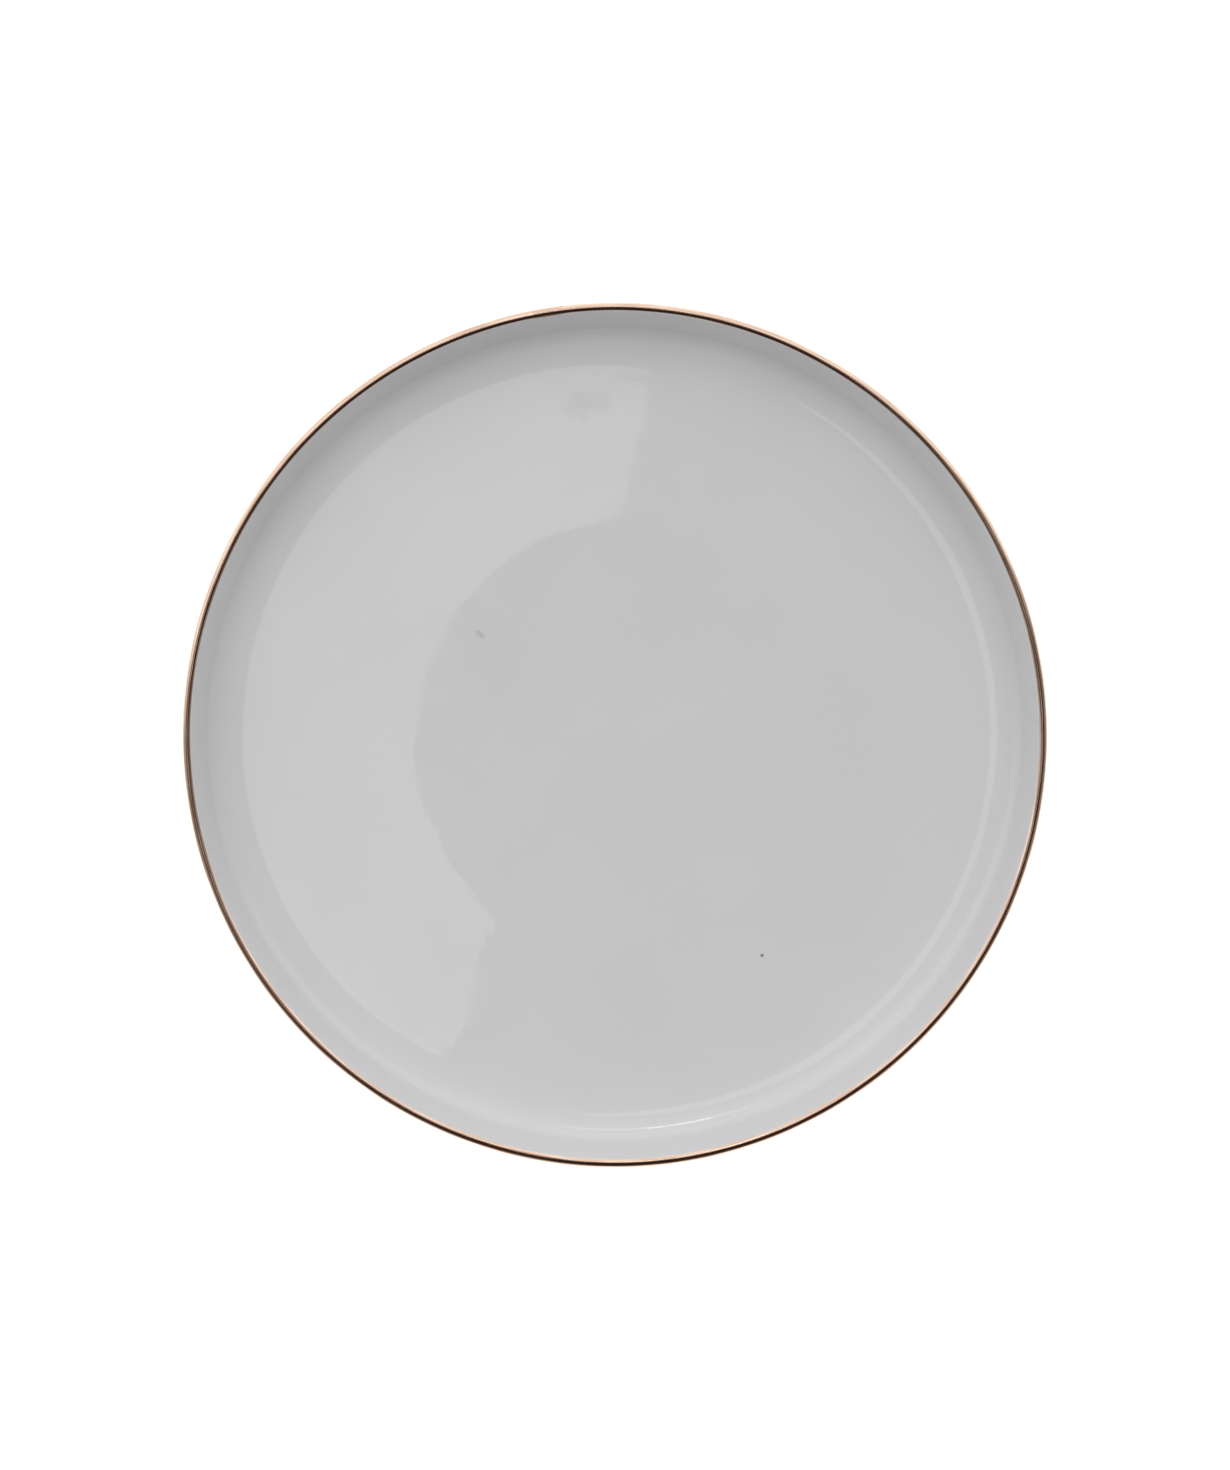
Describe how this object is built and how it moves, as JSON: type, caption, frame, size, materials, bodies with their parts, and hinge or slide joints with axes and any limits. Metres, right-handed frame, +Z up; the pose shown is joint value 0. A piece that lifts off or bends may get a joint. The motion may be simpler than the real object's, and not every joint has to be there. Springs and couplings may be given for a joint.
{
  "type": "dinner plate",
  "caption": "Round china dinner plate with a flat well, a low upright wall, a turned foot ring and a thin gold band on the lip.",
  "frame": {"origin": "centre of the foot ring's bearing face, on the table", "axes": "+Z up along the axis that the plate was turned about; +X and +Y level, and alike because the plate is round"},
  "size_m": [0.27, 0.27, 0.022],
  "materials": {
    "porcelain": "white porcelain fired without glaze, fine matt grain",
    "glaze": "clear high-gloss glaze over white porcelain",
    "gold": "bright rose-gold lustre, hand banded and fired on the glaze"
  },
  "bodies": {
    "root": {"porcelain_body": "porcelain", "main_glaze": "glaze", "foot_recess_glaze": "glaze", "gold_lip_band": "gold"}
  },
  "joints": []
}
